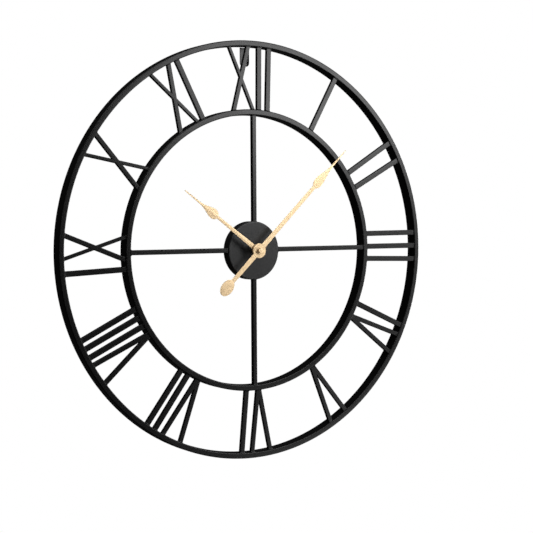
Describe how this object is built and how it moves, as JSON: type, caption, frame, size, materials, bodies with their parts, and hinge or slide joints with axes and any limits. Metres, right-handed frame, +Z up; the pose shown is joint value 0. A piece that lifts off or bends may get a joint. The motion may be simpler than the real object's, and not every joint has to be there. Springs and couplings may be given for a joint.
{
  "type": "wall clock",
  "caption": "Large open-frame wall clock: two black steel hoops with welded Roman numerals, a central drum and quartz movement on four spokes, and long gold spade hands.",
  "frame": {"origin": "the nail that the hanger tab hangs on, where its axis meets the wall", "axes": "+Z up, the dial faces -Y, +X is towards 3 o'clock, and the wall is the plane y = 0"},
  "size_m": [0.8, 0.0515, 0.8],
  "materials": {
    "black_frame": "satin black powder coat",
    "gold_hands": "satin champagne gold on aluminium sheet",
    "case_plastic": "moulded black ABS",
    "wheel_plastic": "moulded white acetal",
    "brass": "turned",
    "steel": "bright",
    "rubber": "matte",
    "copper": "enamelled copper wire",
    "board": "green solder mask",
    "battery": "printed film, no text",
    "magnet": "sintered"
  },
  "bodies": {
    "clock_frame": {"outer_hoop": "black_frame", "inner_hoop": "black_frame", "spoke_12": "black_frame", "spoke_3": "black_frame", "spoke_6": "black_frame", "spoke_9": "black_frame", "numeral_xii_1_x": "black_frame", "numeral_xii_2_i": "black_frame", "numeral_xii_3_i": "black_frame", "numeral_i": "black_frame", "numeral_ii_1_i": "black_frame", "numeral_ii_2_i": "black_frame", "numeral_iii_1_i": "black_frame", "numeral_iii_2_i": "black_frame", "numeral_iii_3_i": "black_frame", "numeral_iv_1_i": "black_frame", "numeral_iv_2_v": "black_frame", "numeral_v": "black_frame", "numeral_vi_1_v": "black_frame", "numeral_vi_2_i": "black_frame", "numeral_vii_1_v": "black_frame", "numeral_vii_2_i": "black_frame", "numeral_vii_3_i": "black_frame", "numeral_viii_1_v": "black_frame", "numeral_viii_2_i": "black_frame", "numeral_viii_3_i": "black_frame", "numeral_viii_4_i": "black_frame", "numeral_ix_1_i": "black_frame", "numeral_ix_2_x": "black_frame", "numeral_x": "black_frame", "numeral_xi_1_x": "black_frame", "numeral_xi_2_i": "black_frame", "hanger_tab": "black_frame", "drum": "black_frame", "movement_case": "case_plastic", "rear_cover": "case_plastic", "threaded_bushing": "brass", "rubber_gasket": "rubber", "washer": "steel", "bushing_nut": "black_frame", "stator": "steel", "coil": "copper", "circuit_board": "board", "quartz_crystal": "steel", "battery": "battery", "contact_positive": "steel", "contact_negative": "steel"},
    "hour_hand_body": {"hour_hand": "gold_hands", "hour_wheel": "brass"},
    "minute_hand_body": {"minute_hand": "gold_hands", "cap_nut": "gold_hands", "minute_arbor": "steel"},
    "motion_wheel_body": {"motion_wheel": "wheel_plastic"},
    "setting_knob_body": {"setting_knob": "case_plastic"},
    "centre_wheel_body": {"centre_wheel": "wheel_plastic"},
    "third_wheel_body": {"third_wheel": "wheel_plastic"},
    "seconds_wheel_body": {"seconds_wheel": "wheel_plastic"},
    "intermediate_wheel_body": {"intermediate_wheel": "wheel_plastic"},
    "rotor_body": {"rotor": "magnet"}
  },
  "joints": [
    {"name": "minute_hand_turn", "type": "hinge", "parent": "clock_frame", "child": "minute_hand_body", "pos_m": [0.004, 0, -0.371], "axis": [0, 1, 0], "continuous": true},
    {"name": "hour_hand_turn", "type": "hinge", "parent": "clock_frame", "child": "hour_hand_body", "pos_m": [0.004, 0, -0.371], "axis": [0, 1, 0], "continuous": true},
    {"name": "motion_wheel_turn", "type": "hinge", "parent": "clock_frame", "child": "motion_wheel_body", "pos_m": [0.01366, 0, -0.37359], "axis": [0, 1, 0], "continuous": true},
    {"name": "setting_knob_turn", "type": "hinge", "parent": "clock_frame", "child": "setting_knob_body", "pos_m": [0.02316, 0, -0.37359], "axis": [0, 1, 0], "continuous": true},
    {"name": "seconds_wheel_turn", "type": "hinge", "parent": "clock_frame", "child": "seconds_wheel_body", "pos_m": [0.004, 0, -0.371], "axis": [0, 1, 0], "continuous": true},
    {"name": "third_wheel_turn", "type": "hinge", "parent": "clock_frame", "child": "third_wheel_body", "pos_m": [-0.00594, 0, -0.36526], "axis": [0, 1, 0], "continuous": true},
    {"name": "centre_wheel_turn", "type": "hinge", "parent": "clock_frame", "child": "centre_wheel_body", "pos_m": [0.004, 0, -0.371], "axis": [0, 1, 0], "continuous": true},
    {"name": "intermediate_wheel_turn", "type": "hinge", "parent": "clock_frame", "child": "intermediate_wheel_body", "pos_m": [0.00873, 0, -0.36282], "axis": [0, 1, 0], "continuous": true},
    {"name": "rotor_turn", "type": "hinge", "parent": "clock_frame", "child": "rotor_body", "pos_m": [0.01634, 0, -0.36005], "axis": [0, 1, 0], "continuous": true}
  ],
  "couplings": [
    {"joint": "hour_hand_turn", "follows": "minute_hand_turn", "ratio": 0.083333},
    {"joint": "motion_wheel_turn", "follows": "minute_hand_turn", "ratio": -0.33333},
    {"joint": "setting_knob_turn", "follows": "minute_hand_turn", "ratio": 1.25},
    {"joint": "third_wheel_turn", "follows": "seconds_wheel_turn", "ratio": -0.13333},
    {"joint": "centre_wheel_turn", "follows": "seconds_wheel_turn", "ratio": 0.016667},
    {"joint": "intermediate_wheel_turn", "follows": "seconds_wheel_turn", "ratio": -6},
    {"joint": "rotor_turn", "follows": "seconds_wheel_turn", "ratio": 30}
  ]
}
